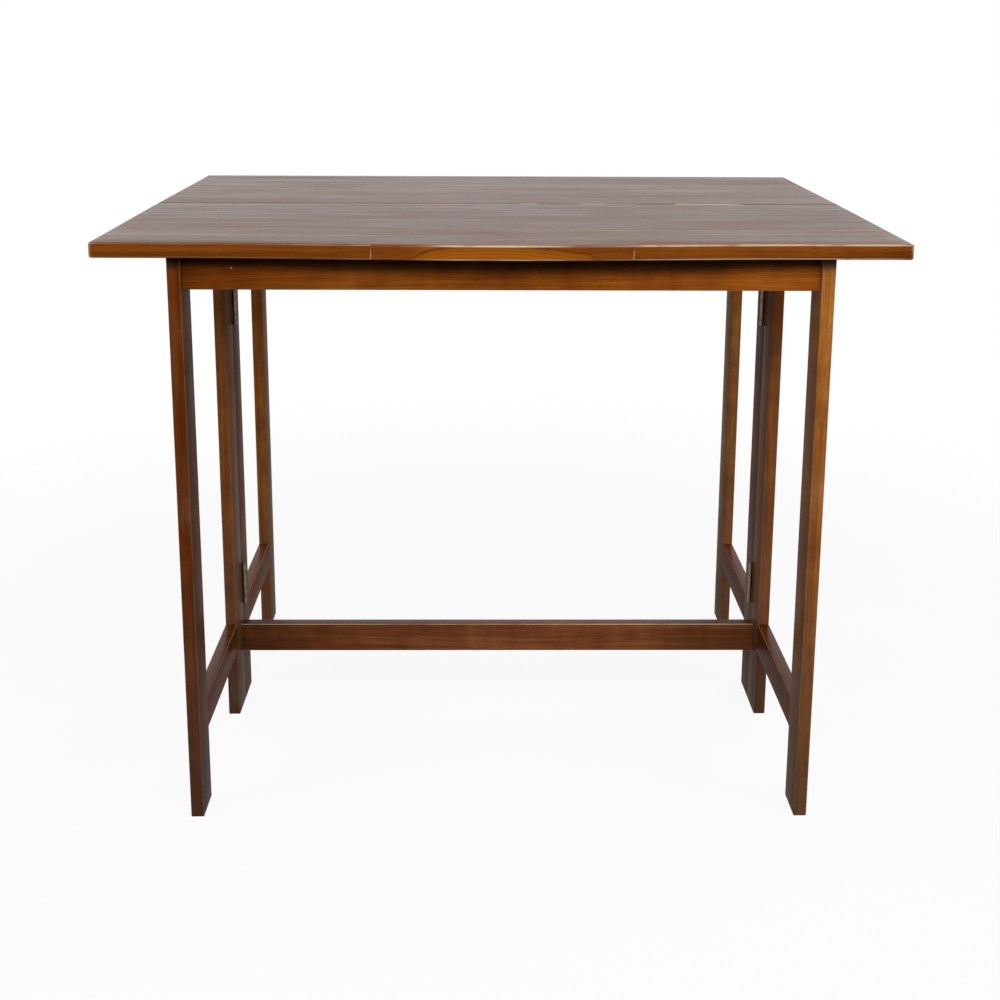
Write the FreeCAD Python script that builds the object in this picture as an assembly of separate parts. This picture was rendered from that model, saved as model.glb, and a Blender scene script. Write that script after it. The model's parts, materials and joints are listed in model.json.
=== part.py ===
import FreeCAD
import Part
import math
import os

# Folding console table, opened out to its full top. Millimetres. +X runs to the right along the top,
# +Y from the front edge to the rear edge, +Z up. The origin is on the floor under the middle of the seam.

# Top: two equal leaves that meet at the seam
TOP_WIDTH = 985.0
LEAF_DEPTH = 379.5
LEAF_THICKNESS = 19.0
TOP_HEIGHT = 765.0
SEAM_GAP = 1.0
EDGE_ROUND = 2.0
SEAM_ROUND = 3.0
SEAM_FOOT_ROUND = 1.3
END_ROUND = 1.0
INSERT_LENGTH = 315.0
INSERT_DEPTH = 14.0

# Frame and gates: posts, rails and stretchers
END_OVERHANG = 87.5
FRONT_OVERHANG = 20.0
SEAM_SETBACK = 21.5
GATE_LENGTH = 323.0
GATE_TOP_PLAY = 0.6
POST_GAP = 1.0
LEG_THICKNESS = 17.0
LEG_DEPTH = 53.0
LEG_ARRIS = 1.2
RAIL_HEIGHT = 43.0
RAIL_THICKNESS = 18.0
RAIL_ARRIS = 1.0
APRON_RECESS = 8.0
LONG_STRETCHER_HEIGHT = 87.0
SIDE_STRETCHER_HEIGHT = 102.0
GATE_RAIL_HEIGHT = 107.0

# Mortise and tenon joints
TENON_LENGTH = 20.0
STUB_TENON_LENGTH = 10.5
TENON_THICKNESS = 7.0
TENON_SHOULDER = 8.0
MORTISE_ROOM = 0.8

# Corner blocks that hold the front leaf down
BLOCK_SIDE = 46.0
BLOCK_HEIGHT = 30.0
BLOCK_SCREW_INSET = 13.0
LEAF_SCREW_BITE = 12.0
LEAF_SCREW_RADIUS = 2.0
LEAF_SCREW_HEAD_RADIUS = 3.8

# Screws of all the hinges
SCREW_LENGTH = 16.0
SCREW_RADIUS = 1.5
SCREW_HEAD_RADIUS = 2.7
SCREW_SLOT_WIDTH = 0.7
SCREW_SLOT_DEPTH = 0.7

# Butt hinges of the gates
HINGE_HEIGHT = 64.0
LOWER_HINGE_BASE = 158.0
UPPER_HINGE_DROP = 92.0
HINGE_PLATE = 1.4
HINGE_PLATE_REACH = 13.0
HINGE_PLATE_PLAY = 0.1
HINGE_SCREW_PITCH = 23.0
KNUCKLE_RADIUS = 3.0
KNUCKLE_STANDOFF = 0.5
KNUCKLE_CLEARANCE = 0.25
KNUCKLE_PLAY = 0.15
PIN_RADIUS = 1.5
PIN_RUNNING_CLEARANCE = 0.05
PIN_HEAD_RADIUS = 2.4
PIN_HEAD_HEIGHT = 1.2

# Link hinges at the two ends of the seam
END_PLATE = 2.0
END_PLATE_LENGTH = 52.0
END_PLATE_HEIGHT = 9.0
END_SCREW_SETBACK = 18.0
END_SCREW_PITCH = 24.0
EYE_SET = 0.2
LINK = 2.0
LINK_PLAY = 0.1
LINK_ROOM = 0.5
PIVOT_RADIUS = 1.2

# Places that follow from the sizes above
LEAF_UNDERSIDE = TOP_HEIGHT - LEAF_THICKNESS
TOP_FRONT = -(SEAM_GAP / 2 + LEAF_DEPTH)
LEAF_END = TOP_WIDTH / 2
OUTER = LEAF_END - END_OVERHANG
INNER = OUTER - LEG_THICKNESS
FRAME_FRONT = TOP_FRONT + FRONT_OVERHANG
FRAME_REAR = -(SEAM_GAP / 2 + SEAM_SETBACK)
FRONT_LEG_REAR = FRAME_FRONT + LEG_DEPTH
BACK_LEG_FRONT = FRAME_REAR - LEG_DEPTH
APRON_FRONT = FRAME_FRONT + APRON_RECESS
BACK_RAIL_FRONT = FRAME_REAR - RAIL_THICKNESS
TOP_RAIL_BASE = LEAF_UNDERSIDE - RAIL_HEIGHT
HINGE_LINE = FRAME_REAR + POST_GAP / 2
PIN_X = INNER - KNUCKLE_STANDOFF - KNUCKLE_RADIUS
GATE_FRONT = FRAME_REAR + POST_GAP
GATE_REAR = GATE_FRONT + GATE_LENGTH
STILE_REAR = GATE_FRONT + LEG_DEPTH
GATE_LEG_FRONT = GATE_REAR - LEG_DEPTH
GATE_TOP = LEAF_UNDERSIDE - GATE_TOP_PLAY
PIVOT_Y = SEAM_GAP / 2 + SEAM_ROUND
PIVOT_Z = TOP_HEIGHT - SEAM_ROUND
EYE_RADIUS = SEAM_ROUND - EYE_SET
UP = FreeCAD.Vector(0, 0, 1)


def box(x0, x1, y0, y1, z0, z1):
    return Part.makeBox(x1 - x0, y1 - y0, z1 - z0, FreeCAD.Vector(x0, y0, z0))


def mirrored(shape):
    """The same piece on the left-hand side."""
    return shape.mirror(FreeCAD.Vector(0, 0, 0), FreeCAD.Vector(1, 0, 0))


def both_sides(shapes):
    return shapes + [mirrored(shape) for shape in shapes]


def cut_all(shape, tools):
    return shape.cut(tools) if tools else shape


def save(name, *solids):
    shape = solids[0] if len(solids) == 1 else Part.makeCompound(list(solids))
    shape.exportStep(os.path.join("parts", name + ".step"))


# Wooden members
def post(y_front, z_top, mortises):
    """An upright of the right-hand side, with soft arrises all round but for its top."""
    solid = box(INNER, OUTER, y_front, y_front + LEG_DEPTH, 0, z_top)
    edges = [e for e in solid.Edges if min(v.Z for v in e.Vertexes) < z_top / 2]
    return cut_all(solid.makeFillet(LEG_ARRIS, edges), mortises)


def long_edges(solid, axis):
    return [e for e in solid.Edges if abs(e.tangentAt(e.FirstParameter)[axis]) > 0.5]


def cross_rail(y_front, z_base):
    """A rail between the inner faces of two posts, with its stub tenons, and the mortise for its right end."""
    y_middle = y_front + RAIL_THICKNESS / 2
    y0 = y_middle - TENON_THICKNESS / 2
    y1 = y_middle + TENON_THICKNESS / 2
    z0 = z_base + TENON_SHOULDER
    z1 = z_base + RAIL_HEIGHT - TENON_SHOULDER
    rail = box(-INNER, INNER, y_front, y_front + RAIL_THICKNESS, z_base, z_base + RAIL_HEIGHT)
    rail = rail.makeFillet(RAIL_ARRIS, long_edges(rail, 0))
    reach = INNER + STUB_TENON_LENGTH
    rail = rail.fuse(box(-reach, reach, y0, y1, z0, z1)).removeSplitter()
    return rail, box(INNER, reach + MORTISE_ROOM, y0, y1, z0, z1)


def depth_rail(y_start, y_end, z_base):
    """A rail of the right-hand side that runs from front to back, with its tenons and its two mortises."""
    x_middle = (INNER + OUTER) / 2
    x0 = x_middle - TENON_THICKNESS / 2
    x1 = x_middle + TENON_THICKNESS / 2
    z0 = z_base + TENON_SHOULDER
    z1 = z_base + RAIL_HEIGHT - TENON_SHOULDER
    rail = box(INNER, OUTER, y_start, y_end, z_base, z_base + RAIL_HEIGHT)
    rail = rail.makeFillet(RAIL_ARRIS, long_edges(rail, 1))
    tenon = box(x0, x1, y_start - TENON_LENGTH, y_end + TENON_LENGTH, z0, z1)
    deep = TENON_LENGTH + MORTISE_ROOM
    front_mortise = box(x0, x1, y_start - deep, y_start, z0, z1)
    rear_mortise = box(x0, x1, y_end, y_end + deep, z0, z1)
    return rail.fuse(tenon).removeSplitter(), front_mortise, rear_mortise


def corner_block(y_face, direction):
    """A three-cornered block against the right-hand posts and a cross rail's inner face."""
    z_base = LEAF_UNDERSIDE - BLOCK_HEIGHT
    corner = FreeCAD.Vector(INNER, y_face, z_base)
    along_rail = FreeCAD.Vector(INNER - BLOCK_SIDE, y_face, z_base)
    along_side = FreeCAD.Vector(INNER, y_face + direction * BLOCK_SIDE, z_base)
    outline = Part.makePolygon([corner, along_rail, along_side, corner])
    return Part.Face(outline).extrude(UP * BLOCK_HEIGHT)


def rounded_corner(y, z, y_sign, z_sign, radius):
    """The arc that rounds one corner of a leaf's section, as its start, middle and end points."""
    centre = FreeCAD.Vector(-LEAF_END, y - y_sign * radius, z - z_sign * radius)
    slant = radius * math.sqrt(0.5)
    on_side = centre + FreeCAD.Vector(0, y_sign * radius, 0)
    middle = centre + FreeCAD.Vector(0, y_sign * slant, z_sign * slant)
    on_face = centre + FreeCAD.Vector(0, 0, z_sign * radius)
    return on_side, middle, on_face


def front_leaf_blank():
    """The front leaf's board before anything is cut into it. Its seam arris is round about the hinge pivot."""
    y_seam = -SEAM_GAP / 2
    lower_front = rounded_corner(TOP_FRONT, LEAF_UNDERSIDE, -1, -1, EDGE_ROUND)
    lower_seam = rounded_corner(y_seam, LEAF_UNDERSIDE, 1, -1, SEAM_FOOT_ROUND)
    upper_seam = rounded_corner(y_seam, TOP_HEIGHT, 1, 1, SEAM_ROUND)
    upper_front = rounded_corner(TOP_FRONT, TOP_HEIGHT, -1, 1, EDGE_ROUND)
    arcs = [lower_front, lower_seam[::-1], upper_seam, upper_front[::-1]]
    curves = []
    for arc, following in zip(arcs, arcs[1:] + arcs[:1]):
        curves.append(Part.Arc(*arc))
        curves.append(Part.LineSegment(arc[2], following[0]))
    section = Part.Face(Part.Wire([curve.toShape() for curve in curves]))
    blank = section.extrude(FreeCAD.Vector(TOP_WIDTH, 0, 0))
    end_edges = [e for e in blank.Edges if abs(e.CenterOfMass.x) > LEAF_END - END_ROUND]
    return blank.makeFillet(min(END_ROUND, 0.8 * SEAM_FOOT_ROUND, 0.8 * EDGE_ROUND), end_edges)


# Screws
def turned(points):
    """A solid of revolution about Z from the radius and height of each corner of its half section."""
    corners = [FreeCAD.Vector(r, 0, z) for r, z in points]
    outline = Part.makePolygon(corners + corners[:1])
    return Part.Face(outline).revolve(FreeCAD.Vector(0, 0, 0), UP, 360)


def screw_body(length, radius, head_radius):
    """A countersunk wood screw along +Z with the flat of its head at zero."""
    tip = 2 * radius
    head = head_radius - radius
    return turned([(0, 0), (head_radius, 0), (radius, head), (radius, length - tip), (0, length)])


def placed_screw(at, direction, length, radius, head_radius):
    """The screw with its slot, and its full body, which is the hole that it fills."""
    body = screw_body(length, radius, head_radius)
    half = SCREW_SLOT_WIDTH / 2
    slot = box(-head_radius, head_radius, -half, half, 0, min(SCREW_SLOT_DEPTH, head_radius - radius))
    place = FreeCAD.Placement(at, FreeCAD.Rotation(UP, direction))
    screw = body.cut(slot)
    screw.Placement = place
    body.Placement = place
    return screw, body


def hinge_screw(at, direction):
    return placed_screw(at, direction, SCREW_LENGTH, SCREW_RADIUS, SCREW_HEAD_RADIUS)


# Gate hinges
def upright_cylinder(radius, z0, z1):
    return Part.makeCylinder(radius, z1 - z0, FreeCAD.Vector(PIN_X, HINGE_LINE, z0))


def hinge_leaf(z_base, side, knuckles, bore_radius):
    """One leaf of a right-hand butt hinge. Side is -1 on the back leg and +1 on the gate's stile."""
    near_face = HINGE_LINE + side * HINGE_PLATE_PLAY
    faces = sorted([near_face, near_face + side * HINGE_PLATE])
    x_plate = PIN_X + KNUCKLE_RADIUS + KNUCKLE_CLEARANCE
    plate = box(x_plate, INNER + HINGE_PLATE_REACH, *faces, z_base, z_base + HINGE_HEIGHT)
    recess = plate.copy()
    for z0, z1 in knuckles:
        web = box(PIN_X, x_plate, *faces, z0, z1)
        plate = plate.fuse([web, upright_cylinder(KNUCKLE_RADIUS, z0, z1)])
    plate = plate.removeSplitter().cut(upright_cylinder(bore_radius, z_base, z_base + HINGE_HEIGHT))
    x_screw = INNER + HINGE_PLATE_REACH / 2
    z_middle = z_base + HINGE_HEIGHT / 2
    direction = FreeCAD.Vector(0, side, 0)
    screws = []
    holes = []
    for step in (-1, 0, 1):
        at = FreeCAD.Vector(x_screw, near_face, z_middle + step * HINGE_SCREW_PITCH)
        screw, hole = hinge_screw(at, direction)
        screws.append(screw)
        holes.append(hole)
    return plate.cut(holes), screws, [recess] + holes


def gate_hinge(z_base):
    """A right-hand butt hinge: two knuckles on the back leg, one between them on the gate, and the pin."""
    knuckle = (HINGE_HEIGHT - 2 * KNUCKLE_PLAY) / 3
    z1 = z_base + knuckle
    z2 = z1 + KNUCKLE_PLAY
    z3 = z2 + knuckle
    z4 = z3 + KNUCKLE_PLAY
    z_top = z_base + HINGE_HEIGHT
    fixed = hinge_leaf(z_base, -1, [(z_base, z1), (z4, z_top)], PIN_RADIUS)
    moving = hinge_leaf(z_base, 1, [(z2, z3)], PIN_RADIUS + PIN_RUNNING_CLEARANCE)
    pin = upright_cylinder(PIN_RADIUS, z_base, z_top)
    pin = pin.fuse(upright_cylinder(PIN_HEAD_RADIUS, z_top, z_top + PIN_HEAD_HEIGHT)).removeSplitter()
    return fixed, moving, pin


# Leaf hinges
def pivot_cylinder(y, radius, x0, x1):
    return Part.makeCylinder(radius, x1 - x0, FreeCAD.Vector(x0, y, PIVOT_Z), FreeCAD.Vector(1, 0, 0))


def front_end_plate():
    """The front leaf's plate at the right end, with its eye on the pivot, its screws and what they cut."""
    x0 = LEAF_END - END_PLATE
    z_middle = TOP_HEIGHT - LEAF_THICKNESS / 2
    z0 = z_middle - END_PLATE_HEIGHT / 2
    y_eye = -PIVOT_Y
    y_tail = y_eye + EYE_RADIUS - END_PLATE_LENGTH
    bar = box(x0, LEAF_END, y_tail, y_eye + EYE_RADIUS, z0, z0 + END_PLATE_HEIGHT)
    riser = box(x0, LEAF_END, y_eye - EYE_RADIUS, y_eye + EYE_RADIUS, z0, PIVOT_Z)
    plate = bar.fuse([riser, pivot_cylinder(y_eye, EYE_RADIUS, x0, LEAF_END)]).removeSplitter()
    recess = plate.copy()
    screws = []
    holes = []
    for step in (0, 1):
        y_screw = y_eye - END_SCREW_SETBACK - step * END_SCREW_PITCH
        screw, hole = hinge_screw(FreeCAD.Vector(LEAF_END, y_screw, z_middle), FreeCAD.Vector(-1, 0, 0))
        screws.append(screw)
        holes.append(hole)
    bore = pivot_cylinder(y_eye, PIVOT_RADIUS + PIN_RUNNING_CLEARANCE, x0, LEAF_END)
    return plate.cut(holes + [bore]), screws, [recess] + holes


def hinge_link():
    """The right-hand link under the two end plates, its two pivot pins, and the pocket that it turns in."""
    x1 = LEAF_END - END_PLATE - LINK_PLAY
    x0 = x1 - LINK
    bar = box(x0, x1, -PIVOT_Y, PIVOT_Y, PIVOT_Z - EYE_RADIUS, PIVOT_Z + EYE_RADIUS)
    eyes = [pivot_cylinder(y, EYE_RADIUS, x0, x1) for y in (-PIVOT_Y, PIVOT_Y)]
    pins = [pivot_cylinder(y, PIVOT_RADIUS, x0, LEAF_END) for y in (-PIVOT_Y, PIVOT_Y)]
    link = bar.fuse(eyes).removeSplitter().cut(pins)
    room = EYE_RADIUS + LINK_ROOM
    y_reach = PIVOT_Y + room
    pocket = box(x0 - LINK_PLAY, LEAF_END - END_PLATE, -y_reach, y_reach, PIVOT_Z - room, TOP_HEIGHT + room)
    return link, pins, pocket


def turned_to_rear(shape):
    """A piece of the front leaf as it lies in the rear leaf, across the seam."""
    return shape.mirror(FreeCAD.Vector(0, 0, 0), FreeCAD.Vector(0, 1, 0))


def build_top(leaf_screw_holes):
    blank = front_leaf_blank()
    plate, plate_screws, plate_cuts = front_end_plate()
    link, pins, pocket = hinge_link()
    hinge_cuts = both_sides(plate_cuts + [pocket])
    rear_hinge_cuts = [turned_to_rear(shape) for shape in hinge_cuts]
    half = INSERT_LENGTH / 2
    insert_place = box(-half, half, TOP_FRONT, TOP_FRONT + INSERT_DEPTH, LEAF_UNDERSIDE, TOP_HEIGHT)
    save("front_leaf", blank.cut([insert_place] + hinge_cuts + leaf_screw_holes))
    save("front_edge_insert", blank.common(insert_place))
    save("rear_leaf", turned_to_rear(blank).cut(rear_hinge_cuts))
    plates = both_sides([plate])
    screws = both_sides(plate_screws)
    save("leaf_hinge_front_plates", *plates)
    save("leaf_hinge_front_screws", *screws)
    save("leaf_hinge_rear_plates", *[turned_to_rear(shape) for shape in plates])
    save("leaf_hinge_rear_screws", *[turned_to_rear(shape) for shape in screws])
    save("leaf_hinge_links", *both_sides([link]))
    save("leaf_hinge_pins", *both_sides(pins))


def build_frame(leg_cuts):
    apron, apron_mortise = cross_rail(APRON_FRONT, TOP_RAIL_BASE)
    back_rail, back_mortise = cross_rail(BACK_RAIL_FRONT, TOP_RAIL_BASE)
    stretcher, stretcher_mortise = cross_rail(BACK_RAIL_FRONT, LONG_STRETCHER_HEIGHT)
    side_rail, rail_front, rail_rear = depth_rail(FRONT_LEG_REAR, BACK_LEG_FRONT, TOP_RAIL_BASE)
    side_stretcher, low_front, low_rear = depth_rail(FRONT_LEG_REAR, BACK_LEG_FRONT, SIDE_STRETCHER_HEIGHT)
    front_leg = post(FRAME_FRONT, LEAF_UNDERSIDE, [apron_mortise, rail_front, low_front])
    back_mortises = [back_mortise, stretcher_mortise, rail_rear, low_rear]
    back_leg = post(BACK_LEG_FRONT, LEAF_UNDERSIDE, back_mortises + leg_cuts)
    save("front_apron", apron)
    save("back_rail", back_rail)
    save("long_stretcher", stretcher)
    right_pieces = {
        "front_leg": front_leg,
        "back_leg": back_leg,
        "side_rail": side_rail,
        "side_stretcher": side_stretcher,
    }
    for name, shape in right_pieces.items():
        save(name + "_right", shape)
        save(name + "_left", mirrored(shape))


def build_leaf_fixings():
    """Corner blocks and the screws through them. Returns the holes that the screws make in the front leaf."""
    places = [(APRON_FRONT + RAIL_THICKNESS, 1), (BACK_RAIL_FRONT, -1)]
    blocks = []
    screws = []
    holes = []
    for y_face, direction in places:
        y_screw = y_face + direction * BLOCK_SCREW_INSET
        at = FreeCAD.Vector(INNER - BLOCK_SCREW_INSET, y_screw, LEAF_UNDERSIDE - BLOCK_HEIGHT)
        length = BLOCK_HEIGHT + LEAF_SCREW_BITE
        screw, hole = placed_screw(at, UP, length, LEAF_SCREW_RADIUS, LEAF_SCREW_HEAD_RADIUS)
        blocks.append(corner_block(y_face, direction).cut(hole))
        screws.append(screw)
        holes.append(hole)
    save("corner_blocks", *both_sides(blocks))
    save("leaf_fixing_screws", *both_sides(screws))
    return both_sides(holes)


def build_gates(stile_cuts):
    top_rail, top_front, top_rear = depth_rail(STILE_REAR, GATE_LEG_FRONT, GATE_TOP - RAIL_HEIGHT)
    low_rail, low_front, low_rear = depth_rail(STILE_REAR, GATE_LEG_FRONT, GATE_RAIL_HEIGHT)
    right_pieces = {
        "gate_stile": post(GATE_FRONT, GATE_TOP, [top_front, low_front] + stile_cuts),
        "gate_leg": post(GATE_LEG_FRONT, GATE_TOP, [top_rear, low_rear]),
        "gate_top_rail": top_rail,
        "gate_bottom_rail": low_rail,
    }
    for name, shape in right_pieces.items():
        save(name + "_right", shape)
        save(name + "_left", mirrored(shape))


def build_gate_hinges():
    """All four butt hinges. Returns what the right-hand ones cut into the back leg and into the stile."""
    upper_base = LEAF_UNDERSIDE - UPPER_HINGE_DROP - HINGE_HEIGHT
    fixed_leaves = []
    moving_leaves = []
    pins = []
    fixed_screws = []
    moving_screws = []
    leg_cuts = []
    stile_cuts = []
    for z_base in (LOWER_HINGE_BASE, upper_base):
        fixed, moving, pin = gate_hinge(z_base)
        fixed_leaves.append(fixed[0])
        fixed_screws += fixed[1]
        leg_cuts += fixed[2]
        moving_leaves.append(moving[0])
        moving_screws += moving[1]
        stile_cuts += moving[2]
        pins.append(pin)
    save("gate_hinge_fixed_leaves", *both_sides(fixed_leaves))
    save("gate_hinge_fixed_screws", *both_sides(fixed_screws))
    save("gate_hinge_pins", *both_sides(pins))
    save("gate_hinge_moving_leaves_right", *moving_leaves)
    save("gate_hinge_moving_screws_right", *moving_screws)
    save("gate_hinge_moving_leaves_left", *[mirrored(shape) for shape in moving_leaves])
    save("gate_hinge_moving_screws_left", *[mirrored(shape) for shape in moving_screws])
    return leg_cuts, stile_cuts


def main():
    os.makedirs("parts", exist_ok=True)
    leg_cuts, stile_cuts = build_gate_hinges()
    leaf_screw_holes = build_leaf_fixings()
    build_top(leaf_screw_holes)
    build_frame(leg_cuts)
    build_gates(stile_cuts)


main()
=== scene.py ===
"""Dresses a folding console table: stained wood, aged brass hinges and a plain studio stage."""

import json
import math

import bmesh
import bpy
from mathutils import Matrix, Vector

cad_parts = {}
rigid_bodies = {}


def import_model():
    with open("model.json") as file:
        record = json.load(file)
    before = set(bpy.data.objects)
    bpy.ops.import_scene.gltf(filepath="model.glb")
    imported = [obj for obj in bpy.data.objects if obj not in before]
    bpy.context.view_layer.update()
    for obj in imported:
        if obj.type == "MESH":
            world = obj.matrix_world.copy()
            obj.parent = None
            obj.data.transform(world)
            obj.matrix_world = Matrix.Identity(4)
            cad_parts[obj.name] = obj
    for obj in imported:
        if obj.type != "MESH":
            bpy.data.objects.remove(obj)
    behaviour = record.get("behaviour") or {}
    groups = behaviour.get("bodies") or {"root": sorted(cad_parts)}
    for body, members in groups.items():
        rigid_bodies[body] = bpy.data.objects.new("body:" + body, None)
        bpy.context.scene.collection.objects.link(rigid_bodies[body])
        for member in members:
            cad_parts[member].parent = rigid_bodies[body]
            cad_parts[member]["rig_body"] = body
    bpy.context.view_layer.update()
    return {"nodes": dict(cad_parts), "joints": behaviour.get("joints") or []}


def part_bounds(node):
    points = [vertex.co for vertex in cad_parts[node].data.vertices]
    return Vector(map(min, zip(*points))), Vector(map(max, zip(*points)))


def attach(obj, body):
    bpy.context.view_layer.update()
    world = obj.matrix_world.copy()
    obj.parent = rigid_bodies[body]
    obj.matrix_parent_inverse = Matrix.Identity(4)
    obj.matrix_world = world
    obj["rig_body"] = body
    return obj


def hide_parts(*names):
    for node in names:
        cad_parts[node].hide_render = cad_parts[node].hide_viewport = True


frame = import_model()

bl_info = {
    "name": "Folding Console Table",
    "version": (1, 0, 0),
    "blender": (4, 5, 0),
    "location": "View3D > Sidebar > Table",
    "description": "Builds the visible pieces of a folding console table around its packed frame",
    "category": "Add Mesh",
}

MM = 0.001
AXES = {"X": 0, "Y": 1, "Z": 2}

# Uprights, and the hinge plates that are let into each one
POSTS = {
    "front_leg_left": None,
    "front_leg_right": None,
    "back_leg_left": "gate_hinge_fixed_leaves",
    "back_leg_right": "gate_hinge_fixed_leaves",
    "gate_stile_left": "gate_hinge_moving_leaves_left",
    "gate_stile_right": "gate_hinge_moving_leaves_right",
    "gate_leg_left": None,
    "gate_leg_right": None,
}

# Rails: the axis that each one runs along, and the two posts that it stands between
RAILS = {
    "front_apron": ("X", "front_leg_left", "front_leg_right"),
    "back_rail": ("X", "back_leg_left", "back_leg_right"),
    "long_stretcher": ("X", "back_leg_left", "back_leg_right"),
    "side_rail_left": ("Y", "front_leg_left", "back_leg_left"),
    "side_rail_right": ("Y", "front_leg_right", "back_leg_right"),
    "side_stretcher_left": ("Y", "front_leg_left", "back_leg_left"),
    "side_stretcher_right": ("Y", "front_leg_right", "back_leg_right"),
    "gate_top_rail_left": ("Y", "gate_stile_left", "gate_leg_left"),
    "gate_top_rail_right": ("Y", "gate_stile_right", "gate_leg_right"),
    "gate_bottom_rail_left": ("Y", "gate_stile_left", "gate_leg_left"),
    "gate_bottom_rail_right": ("Y", "gate_stile_right", "gate_leg_right"),
}

# Nodes that keep their CAD shape, and the axis that the rear leaf turns about
BRASS_NODES = [name for name in frame["nodes"] if "hinge" in name and "screws" not in name]
SCREW_NODES = [name for name in frame["nodes"] if "screws" in name]
LEAF_JOINT = next(joint for joint in frame["joints"] if joint["name"] == "leaf_turn")
LEAF_PIVOT = Vector(LEAF_JOINT["pos_m"])

# Modelling: cuts along a board, steps of a rounding, and the room around a cutter
LEAF_CUTS = 39
POST_CUTS = 29
CORNER_STEPS = 5
SEAM_STEPS = 6
FOOT_STEPS = 3
ARRIS_STEPS = 4
CUT_ROOM = 1.0 * MM
NEAR = 0.05 * MM
MERGE = 0.01 * MM

# Modelling: angles between faces that are rounded or shaded smooth, and shares of a direction
SHARP = math.radians(60)
SMOOTH = math.radians(40)
ALONG = 0.9
RUBBED = 0.97
FLAT = 0.995
ARRIS_START = 0.02
ARRIS_RISE = 0.05
INWARD_SLOPE = 0.7
UPPER_SLOPE = 0.6

# Stain of each piece against the common stain, as red, green and blue; for some legs it also
# carries painted light
PLAIN = (1.0, 1.0, 1.0)
LEAF_TINT = (0.80, 0.70, 0.60)
STRIP_TINT = (1.30, 1.28, 1.15)
BLOCK_TINT = (2.2, 3.2, 8.0)
TINTS_AND_LIGHT = {
    "front_apron": (1.85, 1.90, 1.90),
    "front_leg_left": (0.78, 0.72, 0.85),
    # Painted sheen: the right front leg is paler and greyer, as if it caught the reflection of a
    # light on the right
    "front_leg_right": (1.95, 2.60, 4.40),
    # Painted light: the back and gate legs stand in the shade of the top and are lightened as if
    # lit
    "back_leg_left": (1.60, 2.10, 4.20),
    "back_leg_right": (1.50, 1.95, 4.60),
    "gate_leg_left": (2.35, 3.00, 4.40),
    "gate_leg_right": (2.30, 3.40, 7.00),
    "long_stretcher": (1.68, 2.10, 6.90),
}

# Tone along the length of the table: distance from the middle in mm, and share of the stain; the
# apron's rise towards its right end is painted light, as if lit from the right
TONES_AND_LIGHT = {
    "front_apron": [(-350, 0.68), (80, 0.74), (180, 0.92), (350, 1.00)],
    "long_stretcher": [(-388, 0.35), (-250, 0.65), (150, 1.00), (290, 0.50), (388, 0.70)],
}

# Pale marks on the arrises along the length of the table: distance from the middle in mm, and how
# much shows; partly real wear, partly painted highlights and glints on the front edge, the strip,
# the seam and the stretcher
FRONT_WEAR_AND_HIGHLIGHT = [
    (-492, 0.55), (-484, 0.12), (-200, 0.20), (-158, 0.30), (158, 0.35), (175, 0.80),
    (470, 0.80), (485, 0.45),
]
REAR_WEAR = [(-492, 0.16), (492, 0.16)]
STRIP_WEAR_AND_HIGHLIGHT = [
    (-157, 0.10), (-98, 0.15), (-60, 0.85), (20, 1.00), (70, 0.55), (90, 0.15), (157, 0.40),
]
SEAM_WEAR_AND_GLINT = [
    (-492, 0.05), (-330, 0.08), (-280, 0.22), (28, 0.26), (33, 0.75), (53, 0.75), (58, 0.24),
    (114, 0.24), (120, 0.80), (196, 0.85), (204, 0.14), (253, 0.14), (258, 1.00), (350, 1.00),
    (356, 0.18), (492, 0.20),
]
STRETCHER_WEAR_AND_HIGHLIGHT = [
    (-388, 0.90), (-350, 0.70), (-200, 0.60), (0, 0.75), (150, 1.00), (330, 1.00),
]
STICK_WEAR = 0.14

# The band of pale wear and painted glint beside the seam, and how far from the seam a leaf's outer
# arris starts
SEAM_BAND = (4.2 * MM, 5.4 * MM, 1.0, 0.0)
SEAM_REACH = 0.1

# Small light nicks on front faces: x, z and radius in mm
NICKS = {
    "front_apron": [(-328.0, 730.0, 1.0)],
    "front_leg_right": [(380.0, 330.0, 1.3), (384.0, 92.0, 1.1)],
}
NICK_RAGGED = 2.0 * MM
NICK_EDGE = (0.7, 1.4)
NICK_SHARE = 0.9

# Where in the figure each piece is cut; posts and rails step on from one to the next
GRAIN_TURN = {"X": (0, 0, 0), "Y": (0, 0, math.radians(-90)), "Z": (0, math.radians(90), 0)}
FRONT_LEAF_CUT = (0.3, 0.14, -0.9)
REAR_LEAF_CUT = (1.1, -0.12, -0.9)
STRIP_CUT = (0.7, 0.36, -0.72)
BLOCK_CUT = (0.2, 0.3, 0.1)
POST_CUT_STEP = (0.37, 0.05, 0.03)
RAIL_CUT_STEP = (0.53, 0.06, -0.04)

# Noise layers: counts per metre along and across the grain, detail and roughness
SWAY = ((3, 7, 7), 1, 0.55)
BROAD = ((1.3, 34, 34), 2, 0.55)
STREAKS = ((2.6, 190, 190), 4, 0.62)
FIBRES = ((11, 900, 900), 3, 0.55)
MOTTLE = ((30, 16, 16), 2, 0.55)
CLOUD = ((5, 9, 9), 3, 0.55)
PORES = ((55, 1700, 1700), 1, 0.55)
PATCHES = ((22, 70, 70), 3, 0.55)
PATINA = ((160, 160, 160), 5, 0.65)
RUBBING = ((900, 900, 120), 3, 0.55)

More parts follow.
